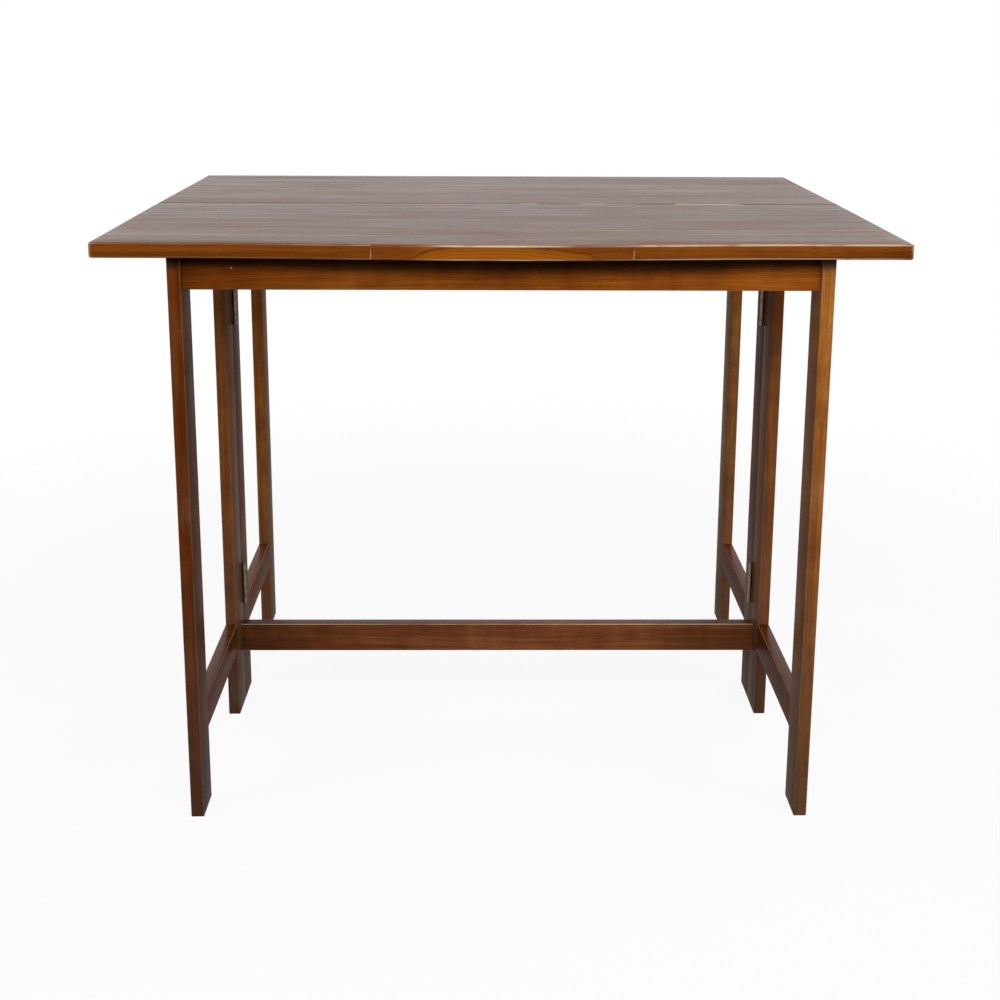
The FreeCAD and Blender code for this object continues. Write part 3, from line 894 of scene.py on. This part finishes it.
def leaf(node, plates, finish):
    """A board of the top with rounded edges, let in for the hinges at its ends."""
    sizes = bpy.context.scene.table_sizes
    low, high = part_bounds(node)
    front = high.y < 0
    y_seam = high.y if front else low.y
    y_half = (high.y - low.y) / 2
    z_middle = (low.z + high.z) / 2

    def at_seam(at, along):
        return abs(at.y - y_seam) < NEAR and abs(along.x) > ALONG

    piece = cube("top_" + node, low, high)
    divide(piece, "X", LEAF_CUTS)
    divide(piece, "Y", LEAF_CUTS // 3)
    soften(piece, sizes.leaf_corner, CORNER_STEPS,
           lambda at, along: abs(at.y - y_seam) > y_half and abs(along.z) > ALONG)
    soften(piece, sizes.seam_arris, SEAM_STEPS,
           lambda at, along: at_seam(at, along) and at.z > z_middle)
    soften(piece, sizes.seam_foot, FOOT_STEPS,
           lambda at, along: at_seam(at, along) and at.z < z_middle)
    soften(piece, sizes.hinge_arris, ARRIS_STEPS, lambda at, along: True)
    round_over(piece, low, high, y_seam)
    for side in (-1, 1):
        combine(piece, hinge_recess(node, plates, side), "DIFFERENCE")
    if front:
        strip_low, strip_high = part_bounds("front_edge_insert")
        room = Vector((0, CUT_ROOM, CUT_ROOM))
        notch_high = Vector((strip_high.x, strip_high.y, strip_high.z + CUT_ROOM))
        combine(piece, cube("cutter", strip_low - room, notch_high), "DIFFERENCE")
        settle(piece)
    finish_piece(piece, node, node, finish)


def edge_strip(node, finish):
    """The strip let into the middle of the front edge."""
    sizes = bpy.context.scene.table_sizes
    low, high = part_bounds(node)
    piece = cube("front_edge_strip", low, high)
    divide(piece, "X", LEAF_CUTS // 2)
    soften(piece, sizes.leaf_arris, ARRIS_STEPS,
           lambda at, along: abs(at.y - low.y) < NEAR and abs(along.x) > ALONG)
    settle(piece)
    finish_piece(piece, node, "strip", finish)


def post(node, hinge, finish, seed):
    """An upright with soft arrises, let in for the hinges that it carries."""
    sizes = bpy.context.scene.table_sizes
    low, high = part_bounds(node)
    piece = cube("post_" + node, low, high)
    divide(piece, "Z", POST_CUTS)
    soften(piece, sizes.post_arris, ARRIS_STEPS, lambda at, along: at.z < high.z - NEAR)
    rub(piece, sizes.hand_work, seed)
    if hinge:
        side = 1 if low.x > 0 else -1
        inner = min(abs(low.x), abs(high.x))
        z_middle = (low.z + high.z) / 2
        for upper in (False, True):
            plate_low, plate_high = part_box(
                hinge,
                lambda point: point.x * side > inner + NEAR and (point.z > z_middle) == upper)
            at_low = abs(plate_low.y - low.y) < abs(plate_low.y - high.y)
            near_face = low.y if at_low else high.y
            deep = plate_high.y if at_low else plate_low.y
            y_span = sorted((deep, near_face + (near_face - deep)))
            x_far = max(plate_low.x, plate_high.x, key=abs)
            x_span = sorted((side * (inner - CUT_ROOM), x_far))
            cutter = cube("cutter", Vector((x_span[0], y_span[0], plate_low.z)),
                          Vector((x_span[1], y_span[1], plate_high.z)))
            combine(piece, cutter, "DIFFERENCE")
    finish_piece(piece, node, node, finish, polished=False)


def rail(node, axis, start, end, finish):
    """A rail between two posts, with its long arrises softened."""
    sizes = bpy.context.scene.table_sizes
    low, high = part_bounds(node)
    along = AXES[axis]
    low[along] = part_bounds(start)[1][along]
    high[along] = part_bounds(end)[0][along]
    piece = cube("rail_" + node, low, high)
    divide(piece, axis, POST_CUTS)
    soften(piece, sizes.rail_arris, ARRIS_STEPS, lambda at, way: abs(way[along]) > ALONG)
    if node == "front_apron":
        settle(piece, (low.z + high.z) / 2)
    finish_piece(piece, node, node, finish)


# Stage
def seen_directly(tree):
    """One for rays from the camera, mirrors and glass, and zero for those that carry light."""
    path = add_node(tree, "ShaderNodeLightPath").outputs
    clear = calc(tree, "MAXIMUM", path["Is Glossy Ray"], path["Is Transmission Ray"])
    return calc(tree, "MAXIMUM", path["Is Camera Ray"], clear)


def floor():
    deselect()
    bpy.ops.mesh.primitive_plane_add(size=FLOOR_SIZE, location=(0, 0, 0))
    ground = bpy.context.active_object
    ground.name = "studio_floor"
    material = bpy.data.materials.new("studio_floor")
    tree, output = clear_nodes(material, "ShaderNodeOutputMaterial")
    pale = bpy.context.scene.table_finish.floor
    seen = seen_directly(tree)
    colour = blend_colour(tree, seen, rgba(Vector(pale) * BOUNCE), rgba(pale))
    matt = add_node(tree, "ShaderNodeBsdfDiffuse", {"Color": colour}).outputs[0]
    glow = add_node(tree, "ShaderNodeEmission", {"Color": WHITE, "Strength": 1.0}).outputs[0]
    place = add_node(tree, "ShaderNodeTexCoord").outputs["Object"]
    away = vector_calc(tree, "LENGTH", place, output="Value")
    share = calc(tree, "MULTIPLY", seen, spread(tree, away, *FLOOR_GLOW))
    mixed = add_node(tree, "ShaderNodeMixShader", {0: share, 1: matt, 2: glow}).outputs[0]
    tree.links.new(mixed, output.inputs[0])
    ground.data.materials.append(material)


def surroundings():
    world = bpy.data.worlds.new("studio")
    bpy.context.scene.world = world
    tree, output = clear_nodes(world, "ShaderNodeOutputWorld")
    strength = calc(tree, "MULTIPLY_ADD", seen_directly(tree), 1.0 - AMBIENT, AMBIENT)
    light = add_node(tree, "ShaderNodeBackground", {"Color": WHITE, "Strength": strength})
    tree.links.new(light.outputs[0], output.inputs[0])


def soft_light(name, place, target, size, power):
    bpy.ops.object.light_add(type="AREA", location=place)
    lamp = bpy.context.active_object
    lamp.name = name
    lamp.rotation_euler = (Vector(target) - Vector(place)).to_track_quat("-Z", "Y").to_euler()
    lamp.data.shape = "RECTANGLE"
    lamp.data.size, lamp.data.size_y = size
    lamp.data.energy = power


def photo_camera():
    bpy.ops.object.camera_add()
    camera = bpy.context.active_object
    camera.name = "photo_camera"
    yaw = Matrix.Rotation(CAMERA_YAW, 4, "Z")
    pitch = Matrix.Rotation(math.pi / 2 - CAMERA_PITCH, 4, "X")
    roll = Matrix.Rotation(CAMERA_ROLL, 4, "Z")
    camera.matrix_world = Matrix.Translation(CAMERA_PLACE) @ (yaw @ pitch) @ roll
    camera.data.lens = CAMERA_LENS
    camera.data.sensor_width = CAMERA_SENSOR
    camera.data.shift_y = CAMERA_SHIFT
    bpy.context.scene.camera = camera


# Operators
class TABLE_OT_leaves(bpy.types.Operator):
    """Builds the two leaves of the top"""

    bl_idname = "table.leaves"
    bl_label = "Leaves"

    def execute(self, context):
        board = {"grain": "X", "tint": LEAF_TINT, "gloss": LEAF_GLOSS, "board": LEAF_BOARD}
        front = {**board, "offset": FRONT_LEAF_CUT, "wear_and_highlight": leaf_wear_and_glint(FRONT_WEAR_AND_HIGHLIGHT)}
        rear = {**board, "offset": REAR_LEAF_CUT, "wear_and_highlight": leaf_wear_and_glint(REAR_WEAR)}
        leaf("front_leaf", "leaf_hinge_front_plates", front)
        leaf("rear_leaf", "leaf_hinge_rear_plates", rear)
        return {"FINISHED"}


class TABLE_OT_edge_strip(bpy.types.Operator):
    """Builds the strip in the middle of the front edge"""

    bl_idname = "table.edge_strip"
    bl_label = "Front Edge Strip"

    def execute(self, context):
        finish = {
            "grain": "X", "offset": STRIP_CUT, "tint": STRIP_TINT, "gloss": LEAF_GLOSS,
            "detail": strip_figure(*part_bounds("front_edge_insert")),
            "wear_and_highlight": length_wear_and_highlight(STRIP_WEAR_AND_HIGHLIGHT),
        }
        edge_strip("front_edge_insert", finish)
        return {"FINISHED"}


class TABLE_OT_posts(bpy.types.Operator):
    """Builds the eight uprights of the frame and of the gates"""

    bl_idname = "table.posts"
    bl_label = "Posts"

    def execute(self, context):
        for index, (node, hinge) in enumerate(POSTS.items()):
            offset = [step * index for step in POST_CUT_STEP]
            post(node, hinge, stick_wood(node, "Z", offset), index)
        return {"FINISHED"}


class TABLE_OT_rails(bpy.types.Operator):
    """Builds the apron, the rails and the stretchers"""

    bl_idname = "table.rails"
    bl_label = "Rails and Stretchers"

    def execute(self, context):
        for index, (node, (axis, start, end)) in enumerate(RAILS.items()):
            offset = [step * index for step in RAIL_CUT_STEP]
            rail(node, axis, start, end, stick_wood(node, axis, offset))
        return {"FINISHED"}


class TABLE_OT_hardware(bpy.types.Operator):
    """Finishes the hinges, their screws and the corner blocks"""

    bl_idname = "table.hardware"
    bl_label = "Hinges, Screws and Blocks"

    def execute(self, context):
        colours = context.scene.table_finish
        brass = aged_metal("aged_brass", colours.brass, BRASS_POLISH)
        steel = aged_metal("dull_steel", colours.steel, STEEL_POLISH)
        wood = stained_wood("block_wood", "X", BLOCK_CUT, BLOCK_TINT, LEAF_GLOSS, BLOCK_LACQUER)
        finishes = {brass: BRASS_NODES, steel: SCREW_NODES, wood: ["corner_blocks"]}
        for finish, nodes in finishes.items():
            for node in nodes:
                for slot in frame["nodes"][node].material_slots:
                    slot.material = finish
        return {"FINISHED"}


class TABLE_OT_stage(bpy.types.Operator):
    """Sets the floor, the studio light and the camera"""

    bl_idname = "table.stage"
    bl_label = "Stage"

    def execute(self, context):
        floor()
        surroundings()
        for name, settings in LIGHTS.items():
            soft_light(name, *settings)
        photo_camera()
        context.scene.view_settings.view_transform = "Standard"
        return {"FINISHED"}


class TABLE_PT_build(bpy.types.Panel):
    """Lists the steps that build the table"""

    bl_idname = "TABLE_PT_build"
    bl_label = "Folding Console Table"
    bl_space_type = "VIEW_3D"
    bl_region_type = "UI"
    bl_category = "Table"

    def draw(self, context):
        for group in (context.scene.table_sizes, context.scene.table_finish):
            column = self.layout.column()
            for name in group.bl_rna.properties.keys():
                if name not in ("rna_type", "name"):
                    column.prop(group, name)
        for step in STEPS:
            self.layout.operator(step.bl_idname)


STEPS = (
    TABLE_OT_leaves, TABLE_OT_edge_strip, TABLE_OT_posts, TABLE_OT_rails, TABLE_OT_hardware,
    TABLE_OT_stage,
)
CLASSES = (TableSizes, TableFinish, *STEPS, TABLE_PT_build)


def register():
    for cls in CLASSES:
        bpy.utils.register_class(cls)
    bpy.types.Scene.table_sizes = bpy.props.PointerProperty(type=TableSizes)
    bpy.types.Scene.table_finish = bpy.props.PointerProperty(type=TableFinish)


def unregister():
    del bpy.types.Scene.table_finish
    del bpy.types.Scene.table_sizes
    for cls in reversed(CLASSES):
        bpy.utils.unregister_class(cls)


def main():
    register()
    bpy.ops.table.leaves()
    bpy.ops.table.edge_strip()
    bpy.ops.table.posts()
    bpy.ops.table.rails()
    bpy.ops.table.hardware()
    bpy.ops.table.stage()


if __name__ == "__main__":
    main()
